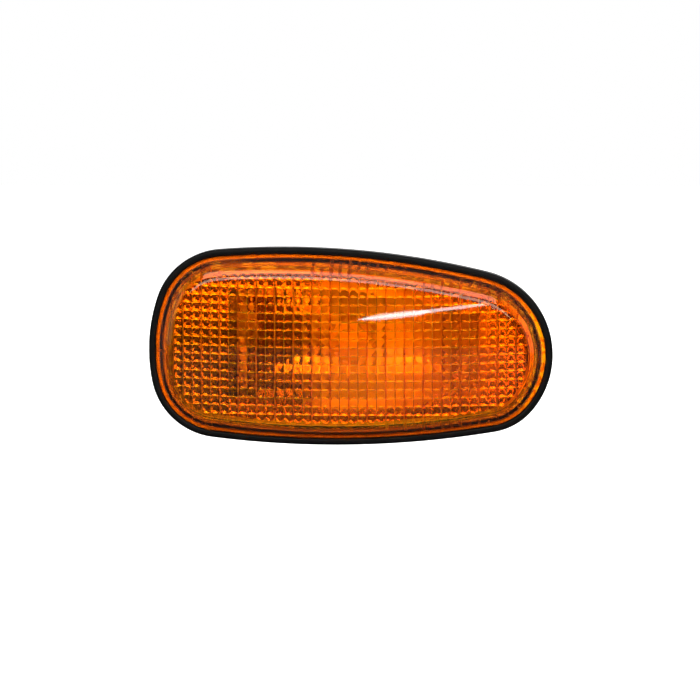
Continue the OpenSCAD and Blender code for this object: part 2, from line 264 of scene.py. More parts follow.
def put_mesh(name, points, faces):
    """New object from points in mm and faces, turned so that the faces look outwards."""
    if signed_volume(points, faces) < 0:
        faces = [f[::-1] for f in faces]
    mesh = bpy.data.meshes.new(name)
    mesh.from_pydata((points * MM).tolist(), [], faces)
    mesh.validate()
    mesh.update()
    obj = bpy.data.objects.new(name, mesh)
    bpy.context.scene.collection.objects.link(obj)
    return obj


def quads(m, n, loop):
    """Faces of an m by n grid whose second way closes, and whose first way closes for a loop."""
    j, i = np.meshgrid(np.arange(m if loop else m - 1), np.arange(n), indexing="ij")
    u, v = (j + 1) % m, (i + 1) % n
    return np.stack([j * n + i, u * n + i, u * n + v, j * n + v], -1).reshape(-1, 4).tolist()


def loop_piece(name, rings):
    """Closed solid through rings that end where they began: point (j, i) lies on ring j."""
    rings = np.array(rings)
    m, n = rings.shape[:2]
    return put_mesh(name, rings.reshape(-1, 3), quads(m, n, True))


def capped_piece(name, rings, first, last):
    """Closed solid through rings, with a point at each end to close it."""
    rings = np.array(rings)
    m, n = rings.shape[:2]
    points = np.concatenate([rings.reshape(-1, 3), [first, last]])
    i = np.arange(n)
    v = (i + 1) % n
    start = np.stack([np.full(n, m * n), i, v], 1).tolist()
    stop = np.stack([np.full(n, m * n + 1), (m - 1) * n + v, (m - 1) * n + i], 1).tolist()
    return put_mesh(name, points, quads(m, n, False) + start + stop)


def rounded(profile, radii, steps=5):
    """Closed profile with each corner p swapped for the curve (1-t)^2 a + 2 t (1-t) p + t^2 b."""
    profile = np.array(profile, float)
    before, after = np.roll(profile, 1, 0), np.roll(profile, -1, 0)
    t = np.linspace(0, 1, steps)[:, None]
    points = []
    for p, a, b, r in zip(profile, before, after, radii):
        if r <= 0:
            points.append(p[None])
            continue
        ra, rb = min(r, np.linalg.norm(a - p) * 0.45), min(r, np.linalg.norm(b - p) * 0.45)
        a = p + (a - p) / np.linalg.norm(a - p) * ra
        b = p + (b - p) / np.linalg.norm(b - p) * rb
        points.append((1 - t) ** 2 * a + 2 * t * (1 - t) * p + t ** 2 * b)
    return np.concatenate(points)


def smooth(obj, angle):
    """Smooth shading, with the edges over an angle in degrees kept sharp."""
    obj.data.shade_smooth()
    obj.data.set_sharp_from_angle(angle=math.radians(angle))


def settled(obj):
    """The object with its modifiers worked into its mesh."""
    graph = bpy.context.evaluated_depsgraph_get()
    mesh = bpy.data.meshes.new_from_object(obj.evaluated_get(graph))
    old = obj.data
    obj.modifiers.clear()
    obj.data = mesh
    bpy.data.meshes.remove(old)
    return obj


def joined(obj, other, way):
    """obj united with, or kept inside, another closed solid, which is then removed."""
    cut = obj.modifiers.new("join", "BOOLEAN")
    cut.operation, cut.object, cut.solver = way, other, "MANIFOLD"
    settled(obj)
    bpy.data.objects.remove(other)
    return obj


def kept_inside(obj, node):
    """Pulls points that stand out of a CAD node's box back onto it."""
    low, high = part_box(node)
    points = np.empty(len(obj.data.vertices) * 3, np.float32)
    obj.data.vertices.foreach_get("co", points)
    points = np.clip(points.reshape(-1, 3), np.array(low), np.array(high))
    obj.data.vertices.foreach_set("co", points.ravel())
    obj.data.update()


def softened_copy(node, width, angle=35):
    """Copy of a CAD node's mesh, merged, its flat faces joined, with rounded edges."""
    obj = bpy.data.objects.new(node + "_body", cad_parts[node].data.copy())
    bpy.context.scene.collection.objects.link(obj)
    obj.data.materials.clear()
    work = bmesh.new()
    work.from_mesh(obj.data)
    bmesh.ops.remove_doubles(work, verts=work.verts, dist=1e-6)
    bmesh.ops.dissolve_limit(work, angle_limit=math.radians(1.0), verts=work.verts,
                             edges=work.edges, delimit={"NORMAL"})
    work.to_mesh(obj.data)
    work.free()
    round_off = obj.modifiers.new("round", "BEVEL")
    round_off.width, round_off.segments = width, 2
    round_off.limit_method, round_off.angle_limit = "ANGLE", math.radians(angle)
    round_off.use_clamp_overlap = True
    settled(obj)
    smooth(obj, 40)
    return obj


def finish_piece(obj, body, slot, material, *nodes):
    """Gives a piece its material and body, and hides the CAD nodes that it stands for. The slot is not
    used.
    """
    obj.data.materials.clear()
    obj.data.materials.append(material)
    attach(obj, body)
    if nodes:
        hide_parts(*nodes)
    return obj


# Materials

class Nodes:
    """Nodes of one material or world."""

    def __init__(self, tree):
        self.nodes, self.links = tree.nodes, tree.links

    def put(self, slot, value):
        """Writes a number or a colour into a slot, or links another socket to it."""
        if isinstance(value, (int, float)):
            slot.default_value = value
        elif isinstance(value, tuple):
            slot.default_value = (*value, 1)
        else:
            self.links.new(value, slot)

    def rays(self):
        """One value for each kind of ray, which is 1 for a ray of that kind."""
        return self.nodes.new("ShaderNodeLightPath").outputs

    def axes(self, place):
        """X, Y and Z of a place."""
        node = self.nodes.new("ShaderNodeSeparateXYZ")
        self.links.new(place, node.inputs[0])
        return node.outputs

    def spread(self, source, low, high, start=0.3, stop=0.7):
        """A ramp from low, where the source is at start, to high, where it is at stop. Most of a
        noise pattern lies between the start and stop that are given here."""
        node = self.nodes.new("ShaderNodeMapRange")
        for name, value in (("From Min", start), ("From Max", stop), ("To Min", low), ("To Max", high)):
            node.inputs[name].default_value = value
        self.links.new(source, node.inputs["Value"])
        return node.outputs["Result"]

    def maths(self, way, first, second):
        """Sum, difference, product or larger one of two values."""
        node = self.nodes.new("ShaderNodeMath")
        node.operation = way
        self.put(node.inputs[0], first)
        self.put(node.inputs[1], second)
        return node.outputs[0]

    def product(self, first, *others):
        """Product of two or more values."""
        for other in others:
            first = self.maths("MULTIPLY", first, other)
        return first

    def between(self, source, rise, fall):
        """1 between two ramps and 0 outside them, each ramp given as its start and stop."""
        return self.product(self.spread(source, 0.0, 1.0, *rise), self.spread(source, 1.0, 0.0, *fall))

    def mixed(self, factor, first, second, kind="RGBA"):
        """The first colour where the factor is 0, and the second where it is 1."""
        node = self.nodes.new("ShaderNodeMix")
        node.data_type = kind
        self.put(node.inputs["A"], first)
        self.put(node.inputs["B"], second)
        self.put(node.inputs["Factor"], factor)
        return node.outputs["Result"]

    def pick(self, factor, first, second):
        """The first number where the factor is 0, and the second where it is 1."""
        return self.mixed(factor, first, second, "FLOAT")


class Finish(Nodes):
    """One node material with a Principled shader and patterns on Object coordinates."""

    def __init__(self, name, **values):
        self.material = bpy.data.materials.new(name)
        self.material.use_nodes = True
        super().__init__(self.material.node_tree)
        self.shader = next(n for n in self.nodes if n.type == "BSDF_PRINCIPLED")
        for socket, value in values.items():
            self.shader.inputs[socket.replace("_", " ")].default_value = value
        self.place = self.nodes.new("ShaderNodeTexCoord").outputs["Object"]

    def noise(self, scale, detail=3.0, stretch=None, place=None):
        """A noise pattern with about scale / 1000 spots to the millimetre."""
        node = self.nodes.new("ShaderNodeTexNoise")
        node.inputs["Scale"].default_value = scale
        node.inputs["Detail"].default_value = detail
        place = place or self.place
        if stretch:
            turn = self.nodes.new("ShaderNodeMapping")
            turn.inputs["Scale"].default_value = stretch
            self.links.new(place, turn.inputs["Vector"])
            place = turn.outputs["Vector"]
        self.links.new(place, node.inputs["Vector"])
        return node.outputs["Fac"]

    def base(self, colour):
        """Base colour from a socket."""
        self.links.new(colour, self.shader.inputs["Base Color"])
        return self

    def rough(self, source, low, high):
        """Roughness between two values."""
        self.links.new(self.spread(source, low, high), self.shader.inputs["Roughness"])
        return self

    def tint(self, source, first, second):
        """Base colour between two colours."""
        return self.base(self.mixed(self.spread(source, 0, 1), first, second))

    def bump(self, source, depth, strength=1.0):
        """Bump of a depth in metres."""
        node = self.nodes.new("ShaderNodeBump")
        node.inputs["Strength"].default_value = strength
        node.inputs["Distance"].default_value = depth
        self.links.new(source, node.inputs["Height"])
        self.links.new(node.outputs["Normal"], self.shader.inputs["Normal"])
        return self


def darker(value, share):
    """A colour scaled by a share."""
    return tuple(min(1.0, c * share) for c in value)


def lens_finish():
    """Clear amber plastic with a very slight flow wave and faint handling marks."""
    f = Finish("amber_plastic", Base_Color=(*colours().amber, 1), Transmission_Weight=1.0, IOR=1.49)
    f.rough(f.noise(260, 4), 0.012, 0.035)
    return f.bump(f.noise(90, 2), 0.00001, 0.12).material


# The weld turns yellow over this ramp along X, in metres: a painted highlight
WELD_PAINTED_HIGHLIGHT = (1.0, 0.86, 0.20)
WELD_PAINTED_HIGHLIGHT_RAMP = (0.042, 0.047)


def weld_finish():
    """Melted plastic on the welded foot of the lens, in light and dark spots, with a painted yellow
    highlight at the narrow end."""
    f = Finish("weld_band")
    c = tuple(colours().weld)
    spots = f.mixed(f.spread(f.noise(1600, 4), 0, 1), darker(c, 0.45), c)
    # Painted highlight: yellow patches for the narrow end of the weld
    yellow = f.mixed(f.spread(f.noise(900, 4), 0, 1, 0.46, 0.54), c, WELD_PAINTED_HIGHLIGHT)
    x = f.axes(f.place)["X"]
    # The painted yellow highlight covers the weld along X at the narrow end
    f.base(f.mixed(f.spread(x, 0.0, 1.0, *WELD_PAINTED_HIGHLIGHT_RAMP), spots, yellow))
    f.rough(f.noise(900, 4), 0.45, 0.60)
    return f.bump(f.noise(2600, 3), 0.00003, 0.3).material


def pillow_finish():
    """Amber plastic of the pillows, with the fine ripple that the cut mould leaves."""
    f = Finish("amber_pillow", Base_Color=(*colours().amber, 1), Transmission_Weight=1.0, IOR=1.49)
    f.rough(f.noise(260, 4), 0.012, 0.035)
    return f.bump(f.noise(1500, 4), 0.00005, 0.6).material


def painted_groove_shade_finish():
    """Amber plastic of the narrow grooves between the pillows, dulled as the mould leaves it, and tinted
    darker as painted shade in the grooves.
    """
    f = Finish("amber_groove_painted_shade", Base_Color=(*colours().groove, 1), Transmission_Weight=1.0, IOR=1.49)
    return f.rough(f.noise(1200, 3), 0.25, 0.40).material


def rubber_finish():
    """Satin black rubber with fine grain and slightly paler rubbed patches."""
    c = tuple(colours().rubber)
    f = Finish("black_rubber", Specular_IOR_Level=0.07)
    f.tint(f.noise(180, 4), c, darker(c, 1.7)).rough(f.noise(420, 5), 0.34, 0.50)
    return f.bump(f.noise(5200, 4), 0.00002, 0.28).material


def housing_finish():
    """Black moulded plastic with spark-eroded grain and faint flow marks."""
    c = tuple(colours().housing)
    f = Finish("black_plastic")
    f.tint(f.noise(140, 4, (1, 0.35, 1)), c, darker(c, 1.9)).rough(f.noise(900, 4), 0.36, 0.56)
    return f.bump(f.noise(3400, 5), 0.00003, 0.35).material


# Where the reflector's looks change, and where light and shade are painted on it. Each ramp is a start and
# a stop: the rim and the bowl by their inset in mm, and the rest along X or Z in metres
RIM_RAMP = (5.4, 6.6)
BOWL_RAMP = (7.2, POCKET_IN)
BARE_RAMP = (-0.0320, -0.0318)
# Painted glow: a golden, brighter tone across the middle of the bowl
PAINTED_GLOW_RISE, PAINTED_GLOW_FALL = (-0.014, -0.005), (0.012, 0.034)
PALE_RAMP = (0.014, 0.032)
# Painted shade: a darker tone at the lower left of the bowl
PAINTED_SHADE_RISE, PAINTED_SHADE_FALL = (-0.031, -0.023), (-0.011, -0.004)
PAINTED_SHADE_FOOT, PAINTED_SHADE_TOP = (-0.017, -0.013), (-0.001, 0.005)
# Painted highlight: a lighter tone at the upper left
PAINTED_HIGHLIGHT_FOOT, PAINTED_HIGHLIGHT_FALL = (0.004, 0.010), (-0.012, 0.000)
# Painted shade: a darker, redder tone to the right
PAINTED_RED_SHADE_RAMP = (0.006, 0.020)
# Painted highlight: a pale yellow line on the rim at the narrow end
PAINTED_LINE_RISE, PAINTED_LINE_FALL, PAINTED_LINE_START = (5.0, 5.3), (5.9, 6.2), (0.038, 0.044)
RIM_FOOT_RAMP = (-0.018, -0.010)
# The rim's pale yellow is a painted highlight, and the bowl's red a painted darker, redder shade
RIM_DARK, RIM_GOLD, RIM_PAINTED_HIGHLIGHT = (0.05, 0.09, 0.03), (0.40, 0.90, 0.28), (1.0, 1.0, 0.45)
RIM_RED, BOWL_PAINTED_RED_SHADE = (0.16, 0.03, 0.004), (0.52, 0.38, 0.25)
STREAK_SCALE = 90.0


def rim_colour(f, inset, x, z):
    """Uncoated rim: dark with golden streaks, a painted pale yellow highlight line at the narrow end, and
    redder at the bottom. The streaks are noise at (inset, 90 x, 90 z), so they run along the rim."""
    line = f.nodes.new("ShaderNodeCombineXYZ")
    for slot, value in zip(line.inputs, (inset, f.product(x, STREAK_SCALE), f.product(z, STREAK_SCALE))):
        f.put(slot, value)
    streaks = f.noise(3.4, 7.0, place=line.outputs["Vector"])
    rim = f.mixed(f.spread(streaks, 0.0, 1.0, 0.48, 0.60), RIM_DARK, RIM_GOLD)
    # Painted highlight: a pale yellow line at the narrow end of the rim
    painted_highlight_line = f.product(f.between(inset, PAINTED_LINE_RISE, PAINTED_LINE_FALL), f.spread(x, 0.0, 1.0, *PAINTED_LINE_START))
    rim = f.mixed(painted_highlight_line, rim, RIM_PAINTED_HIGHLIGHT)
    return f.mixed(f.spread(z, 0.6, 0.0, *RIM_FOOT_RAMP), rim, RIM_RED)


def bowl_colour(f, glow, shade, x, z):
    """Bright coating with light and shade painted by place: a painted golden glow, grey beside that and
    darkest in a painted shade, a painted highlight that makes it lighter at the upper left, a painted
    darker and redder tone to the right, and missing at the wide end."""
    c = tuple(colours().bright)
    # Painted glow: golden in the middle of the bowl, grey beside it
    bowl = f.mixed(glow, darker(c, 0.66), (0.82 * c[0], 0.95 * c[1], 0.40 * c[2]))
    # Painted shade: darkest at the lower left
    bowl = f.mixed(shade, bowl, darker(c, 0.32))
    bowl = f.mixed(f.spread(x, 0.0, 1.0, *BARE_RAMP), tuple(colours().bare), bowl)
    # Painted highlight: lighter at the upper left, over the bare end too
    high = f.product(f.spread(z, 0.0, 0.8, *PAINTED_HIGHLIGHT_FOOT), f.spread(x, 1.0, 0.0, *PAINTED_HIGHLIGHT_FALL))
    bowl = f.mixed(high, bowl, c)
    # Painted shade: darker and redder to the right
    return f.mixed(f.spread(x, 0.0, 0.6, *PAINTED_RED_SHADE_RAMP), bowl, BOWL_PAINTED_RED_SHADE)


def reflector_finish():
    """Vacuum-metallised plastic with a fine orange peel and a bare, streaked rim. The coating is duller in
    the middle of the bowl and less metallic to the right. Its tones differ by place and are painted light
    and shade that stand in for what a studio mirrors in it."""
    f = Finish("bright_coating")
    axes = f.axes(f.place)
    x, z = axes["X"], axes["Z"]
    node = f.nodes.new("ShaderNodeAttribute")
    node.attribute_name = "inset"
    inset = node.outputs["Fac"]
    bowl = f.spread(inset, 0.0, 1.0, *BOWL_RAMP)
    # Masks of the painted glow in the middle of the bowl and of the painted shade at its lower left. The
    # pale mask makes the right less metallic and also takes the painted glow's tone
    glow = f.product(f.between(x, PAINTED_GLOW_RISE, PAINTED_GLOW_FALL), bowl)
    pale = f.product(f.spread(x, 0.0, 0.40, *PALE_RAMP), bowl)
    shade = f.product(f.spread(z, 0.0, 1.0, *PAINTED_SHADE_FOOT), f.spread(z, 1.0, 0.0, *PAINTED_SHADE_TOP),
                      f.between(x, PAINTED_SHADE_RISE, PAINTED_SHADE_FALL), bowl)
    dull = f.maths("ADD", f.spread(f.noise(500, 4), 0.06, 0.12), f.product(glow, 0.48))
    f.put(f.shader.inputs["Roughness"], f.maths("ADD", dull, f.product(shade, 0.12)))
    coated = f.spread(inset, 0.0, 1.0, *RIM_RAMP)
    f.put(f.shader.inputs["Metallic"], f.maths("SUBTRACT", coated, pale))
    f.base(f.mixed(coated, rim_colour(f, inset, x, z),
                   bowl_colour(f, f.maths("MAXIMUM", glow, pale), shade, x, z)))
    return f.bump(f.noise(1500, 3), 0.00002, 0.25).material


def holder_finish():
    """Pale grey glass-filled nylon, slightly streaked by the glass fibres."""
    c = tuple(colours().holder)
    f = Finish("grey_nylon")
    f.tint(f.noise(900, 5, (1, 0.25, 1)), c, darker(c, 1.45)).rough(f.noise(700, 4), 0.42, 0.62)
    return f.bump(f.noise(2600, 5, (1, 0.3, 1)), 0.00003, 0.35).material


def silicone_finish():
    """Brick red silicone with a dusty bloom."""
    c = tuple(colours().silicone)
    f = Finish("red_silicone", Subsurface_Weight=0.06, Subsurface_Scale=0.001)
    f.tint(f.noise(300, 4), c, darker(c, 1.35)).rough(f.noise(800, 4), 0.45, 0.62)
    return f.bump(f.noise(4200, 3), 0.00002, 0.25).material


def brass_finish():
    """Stamped brass with drawn lines and a little tarnish."""
    c = tuple(colours().brass)
    f = Finish("stamped_brass", Metallic=1.0)
    f.tint(f.noise(700, 4), c, darker(c, 0.72)).rough(f.noise(1300, 4, (1, 0.08, 1)), 0.20, 0.38)
    return f.bump(f.noise(5200, 3, (1, 0.05, 1)), 0.000012, 0.30).material


def glass_finish():
    """Lightly frosted soda glass with a soft pressing wave."""
    f = Finish("bulb_frosted_glass", Base_Color=(1, 1, 1, 1), Transmission_Weight=0.6, IOR=1.51)
    f.rough(f.noise(500, 3), 0.32, 0.42)
    return f.bump(f.noise(220, 2), 0.00002, 0.20).material


def tungsten_finish():
    """Drawn tungsten, dark grey with die lines."""
    f = Finish("drawn_tungsten", Metallic=1.0)
    f.tint(f.noise(4000, 3), (0.20, 0.20, 0.21), (0.32, 0.31, 0.30))
    f.rough(f.noise(6000, 3), 0.28, 0.42)
    return f.bump(f.noise(9000, 2), 0.000004, 0.3).material


def wire_finish():
    """Nickel-plated wire with drawing lines."""
    f = Finish("lead_wire_nickel", Metallic=1.0)
    f.tint(f.noise(2500, 3), (0.62, 0.60, 0.56), (0.74, 0.72, 0.68))
    f.rough(f.noise(3000, 3), 0.18, 0.34)
    return f.bump(f.noise(8000, 2), 0.000004, 0.3).material


# Pieces

def side_rings(inset, width, foot, back, steps, ripple=0.0, count=0):
    """Rings of the curved side: inset + w s, and foot + (front + back - foot) s (2 - s), less
    ripples of a height h, which is h sin(pi s) (1 - cos(2 pi n s)) / 2."""
    rings = []
    for t in np.linspace(0, 1, steps):
        line = outline(inset + width * t)
        rise = ripple * math.sin(math.pi * t) * (1 - math.cos(2 * math.pi * count * t)) / 2
        rings.append(ring(line, foot + (front_y(line[:, 0], line[:, 1]) + back - foot) * t * (2 - t)
                          + rise))
    return rings


def front_rings(inset, back, steps):
    """Rings that shrink to the middle of the front, close together at the edge: (1 - t^1.7) line."""
    line = outline(inset)
    return [dome_ring(line * (1 - t ** 1.7), back) for t in np.linspace(0, 1, steps + 1)[1:-1]]


def lens_shell():
    """Hollow dome: outer face from crown to base, then inner face from base to crown."""
    s = sizes()
    wall, width, lens_in = s.lens_wall / MM, s.side_width / MM, s.bead_width / MM
    cavity_in, foot = lens_in + wall, SIDE_DROP - s.bead_height / MM
    outer = [ring(outline(lens_in), FLANGE_FRONT - WELD_GAP)]
    outer += side_rings(lens_in, width, foot, 0, steps=27)
    outer += front_rings(lens_in + width, 0, steps=20)
    inner = [ring(outline(cavity_in), FLANGE_FRONT - WELD_GAP)]
    inner += side_rings(cavity_in, width - wall, foot + wall / 2, wall, 33, RIPPLE, RIPPLES)
    inner += front_rings(lens_in + width, wall, steps=14)
    crown = float(front_y(0.0, 0.0))
    return capped_piece("lens_clear", outer[::-1] + inner, [0, crown, 0], [0, crown + wall, 0])


def pyramid(u, v, power=7.0):
    """Pyramid over a cell with slightly rounded edges: 1 - (|2u - 1|^p + |2v - 1|^p)^(1/p)."""
    far = (np.abs(2 * u - 1) ** power + np.abs(2 * v - 1) ** power) ** (1 / power)
    return 1 - np.minimum(far, 1)


# Half widths of the grooves, and the places across and up a cell where its surface bends, as
# shares of the cell from one line to the next
GROOVE_WIDE, GROOVE_NARROW = 0.075, 0.04
ACROSS = np.array([0, GROOVE_NARROW, GROOVE_WIDE, 0.18, 0.34, 0.50, 0.66, 0.82,
                   1 - GROOVE_WIDE, 1 - GROOVE_NARROW])
UP = np.array([0, 0.05, 0.12, 0.20, 0.28, 0.40, 0.58, 0.80])


def row_lift(x):
    """How far a row of pillows has risen at a place along X: k (x / 48)^2."""
    return sizes().row_rise / MM * (x / ROW_RISE_AT) ** 2


def groove_half(u):
    """Half width of the groove nearest to u, as a share of a cell: every second groove is wide."""
    return np.where(np.round(u) % 2 == 0, GROOVE_WIDE, GROOVE_NARROW)


def pillow_slab():
    """Slab on the inner face of the lens. Its back stands at wall + skin + relief pyramid(u, v^e)
    behind the front, with u and v the place within the cell, and e chosen to put the crown low in
    the cell. A groove between the columns cuts in by its depth times 1 - distance / half width."""
    s = sizes()
    width, height = s.pillow_width / MM, s.pillow_height / MM
    half_w = math.ceil(s.lamp_length / MM / 2 / width)
    half_h = math.ceil(s.lamp_height / MM / 2 / height) + 1
    u = np.append((np.arange(-half_w, half_w)[:, None] + ACROSS).ravel(), half_w)
    v = np.append((np.arange(-half_h, half_h)[:, None] + UP).ravel(), half_h)
    u, v = np.meshgrid(u, v, indexing="ij")
    x = u * width
    z = v * height + row_lift(x)
    front = front_y(x, z)
    lean = math.log(0.5) / math.log(PILLOW_CROWN)
    cell_u, cell_v = u - np.floor(u + 1e-9), np.clip(v - np.floor(v + 1e-9), 0, 1)
    cut = np.clip(1 - np.minimum(cell_u, 1 - cell_u) / groove_half(u), 0, 1) * s.groove / MM
    back = (front + s.lens_wall / MM + SKIN - cut
            + s.pillow_relief / MM * pyramid(cell_u, cell_v ** lean))
    near = np.stack([x, front + ROOT_SHARE * s.lens_wall / MM, z], -1)
    far = np.stack([x, back, z], -1)
    m, n = x.shape
    points = np.concatenate([near.reshape(-1, 3), far.reshape(-1, 3)])
    index = np.arange(m * n).reshape(m, n)
    face = np.stack([index[:-1, :-1], index[1:, :-1], index[1:, 1:], index[:-1, 1:]], -1).reshape(-1, 4)
    rim = np.concatenate([index[:-1, 0], index[-1, :-1], index[:0:-1, -1], index[0, :0:-1]])
    after = np.roll(rim, -1)
    wall = np.stack([after, rim, rim + m * n, after + m * n], 1)
    faces = np.concatenate([face, face[:, ::-1] + m * n, wall]).tolist()
    return put_mesh("pillows", points, faces)


def prism(name, line, low, high):
    """Straight solid between two levels over a line, with flat ends."""
    n = len(line)
    points = np.concatenate([ring(line, low), ring(line, high)])
    i = np.arange(n)
    v = (i + 1) % n
    side = np.stack([i, v, v + n, i + n], 1).tolist()
    return put_mesh(name, points, side + [list(range(n - 1, -1, -1)), list(range(n, 2 * n))])


# The pillows' cutter starts this far in front of the panel, and a lens with fewer faces than
# this has lost its pillows
CUTTER_FRONT = -17.0
LEAST_FACES = 1000

# The lens's material slots. A face belongs to the pillows when it lies this much deeper than the
# wall, in mm, and its normal points at least this far back
SHELL, WELD, GROOVE, PILLOW = range(4)
FIELD_DEPTH, FIELD_FACING = 0.02, 0.2


def mark_faces(lens):
    """Picks each face's finish by its middle and its normal. The strips between the columns and along the
    foot of each row get the finish of the grooves, whose darker tint is painted shade."""
    s = sizes()
    points, normals = np.empty((2, len(lens.data.polygons) * 3), np.float32)
    lens.data.polygons.foreach_get("center", points)
    lens.data.polygons.foreach_get("normal", normals)
    x, y, z = points.reshape(-1, 3).T / MM
    on_foot = y > FLANGE_FRONT - 2 * WELD_GAP
    deep = y > front_y(x, z) + s.lens_wall / MM + FIELD_DEPTH
    on_field = deep & (normals.reshape(-1, 3)[:, 1] > FIELD_FACING)
    u = x * MM / s.pillow_width
    v = (z - row_lift(x)) * MM / s.pillow_height
    in_groove = on_field & ((np.abs(u - np.round(u)) < groove_half(u)) | (v - np.floor(v) < UP[1]))
    slots = np.select([on_foot, in_groove, on_field], [WELD, GROOVE, PILLOW], SHELL)
    lens.data.polygons.foreach_set("material_index", slots)
    lens.data.update()


class LAMP_OT_lens(bpy.types.Operator):
    """Amber lens: a hollow dome with rows of optic pillows inside"""
    bl_idname = "lamp.lens"
    bl_label = "Lens"

    def execute(self, context):
        s = sizes()
        wall, width, lens_in = s.lens_wall / MM, s.side_width / MM, s.bead_width / MM
        line = outline(lens_in + wall + FIELD_SHARE * (width - wall))
        field = joined(pillow_slab(), prism("field", line, CUTTER_FRONT, 0.0), "INTERSECT")
        lens = joined(lens_shell(), field, "UNION")
        if len(lens.data.polygons) < LEAST_FACES:
            raise RuntimeError("the pillows didn't join the lens")
        kept_inside(lens, "lens")
        smooth(lens, 28)
        finish_piece(lens, "lamp", "lens_amber", lens_finish(), "lens")
        for material in (weld_finish(), painted_groove_shade_finish(), pillow_finish()):
            lens.data.materials.append(material)
        mark_faces(lens)
        return {"FINISHED"}


class LAMP_OT_seal(bpy.types.Operator):
    """Rubber seal: a bead round the lens on a flat foot, in one moulding"""
    bl_idname = "lamp.seal"
    bl_label = "Seal"

    def execute(self, context):
        s = sizes()
        top, width, foot = -s.bead_height / MM, s.bead_width / MM, s.foot_width / MM
        profile = rounded(
            [(0, 0), (0, top + BEAD_OUTER_DROP), (BEAD_TOP_START, top), (BEAD_TOP_END, top),
             (width, top + BEAD_INNER_DROP), (width, FLANGE_FRONT), (FLANGE_IN, FLANGE_FRONT),
             (FLANGE_IN, FLANGE_BACK), (foot, FLANGE_BACK), (foot, 0)], SEAL_ROUNDS)
        seal = loop_piece("seal_rubber_bead", [ring(outline(i), y) for i, y in profile])
        kept_inside(seal, "seal")
        smooth(seal, 35)
        finish_piece(seal, "lamp", "seal_rubber", rubber_finish(), "seal")
        return {"FINISHED"}


def bowl_rings(inset, lift, steps=20):
    """Bowl from the tub's line to the round hole: mix(line, circle, 1 - cos t), depth times sin t."""
    line = tub_line(inset)
    circle = line / np.linalg.norm(line, axis=1, keepdims=True) * HOLE_R
    depth = REFLECTOR_BACK - REFLECTOR_T - REFLECTOR_FRONT
    return [ring(line * math.cos(t) + circle * (1 - math.cos(t)),
                 REFLECTOR_FRONT + lift + depth * math.sin(t))
            for t in np.linspace(0, math.pi / 2, steps)]


class LAMP_OT_reflector(bpy.types.Operator):
    """Bright reflector: a flat rim and a bowl with a round hole for the bulb"""
    bl_idname = "lamp.reflector"
    bl_label = "Reflector"

    def execute(self, context):
        flat = np.linspace(RIM_IN, RIM_IN + RIM_WIDTH, 9)
        front = [ring(outline(i), REFLECTOR_FRONT) for i in flat]
        bowl = bowl_rings(POCKET_IN + BOWL_GAP + REFLECTOR_T, 0)
        back = bowl_rings(POCKET_IN + BOWL_GAP, REFLECTOR_T)[::-1]
        rings = [ring(outline(RIM_IN), FLANGE_FRONT)] + front + bowl + back
        insets = [RIM_IN, *flat] + [POCKET_IN] * (len(bowl) + len(back))
        piece = loop_piece("reflector_bowl", rings)
        inset = piece.data.attributes.new("inset", "FLOAT", "POINT")
        inset.data.foreach_set("value", np.repeat(np.array(insets, np.float32), len(rings[0])))
        kept_inside(piece, "reflector")
        smooth(piece, 30)
        finish_piece(piece, "lamp", "reflector_bright", reflector_finish(), "reflector")
        return {"FINISHED"}


class LAMP_OT_housing(bpy.types.Operator):
    """Black housing with its hook and latch finger, edges rounded as moulded"""
    bl_idname = "lamp.housing"
    bl_label = "Housing"

    def execute(self, context):
        piece = softened_copy("housing", sizes().edge_round)
        kept_inside(piece, "housing")
        finish_piece(piece, "lamp", "housing_black", housing_finish(), "housing")
        return {"FINISHED"}


class LAMP_OT_holder(bpy.types.Operator):
    """Bulb holder with its connector socket, seal ring and two contacts"""
    bl_idname = "lamp.holder"
    bl_label = "Bulb holder"

    def execute(self, context):
        brass = brass_finish()
        for node, slot, material, share in (
                ("bulb_holder", "holder_grey", holder_finish(), 1.0),
                ("holder_seal", "holder_seal_rubber", silicone_finish(), 1.0),
                ("contact_left", "contact_brass", brass, 0.5),
                ("contact_right", "contact_brass", brass, 0.5)):
            piece = softened_copy(node, sizes().edge_round * share)
            kept_inside(piece, node)
            finish_piece(piece, "holder", slot, material, node)
        return {"FINISHED"}


def tube(name, path, radius, sides=10):
    """Tube round a path: path + r (cos a n + sin a b), with n and b square to the path."""
    along = np.gradient(path, axis=0)
    along /= np.linalg.norm(along, axis=1, keepdims=True)
    up = np.cross(along, TUBE_GUIDE)
    up /= np.linalg.norm(up, axis=1, keepdims=True)
    side = np.cross(along, up)
    a = np.linspace(0, 2 * math.pi, sides, endpoint=False)
    rings = (path[:, None] + radius * (np.cos(a)[None, :, None] * up[:, None]
                                       + np.sin(a)[None, :, None] * side[:, None]))
    return capped_piece(name, rings, path[0], path[-1])


def filament_coil():
    """Coil that fills the filament's box: (x0 + w t, y + r cos(2 pi n t), z + r sin(2 pi n t))."""
    low, high = (np.array(corner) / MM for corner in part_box("bulb_filament"))
    middle = (low + high) / 2
    t = np.linspace(0, 1, COIL_TURNS * COIL_STEPS)
    reach = (high - low)[2] / 2 - WIRE_R
    path = np.stack([low[0] + WIRE_R + (high - low - 2 * WIRE_R)[0] * t,
                     middle[1] + reach * np.cos(2 * math.pi * COIL_TURNS * t),
                     middle[2] + reach * np.sin(2 * math.pi * COIL_TURNS * t)], 1)
    return tube("filament_coil", path, WIRE_R)


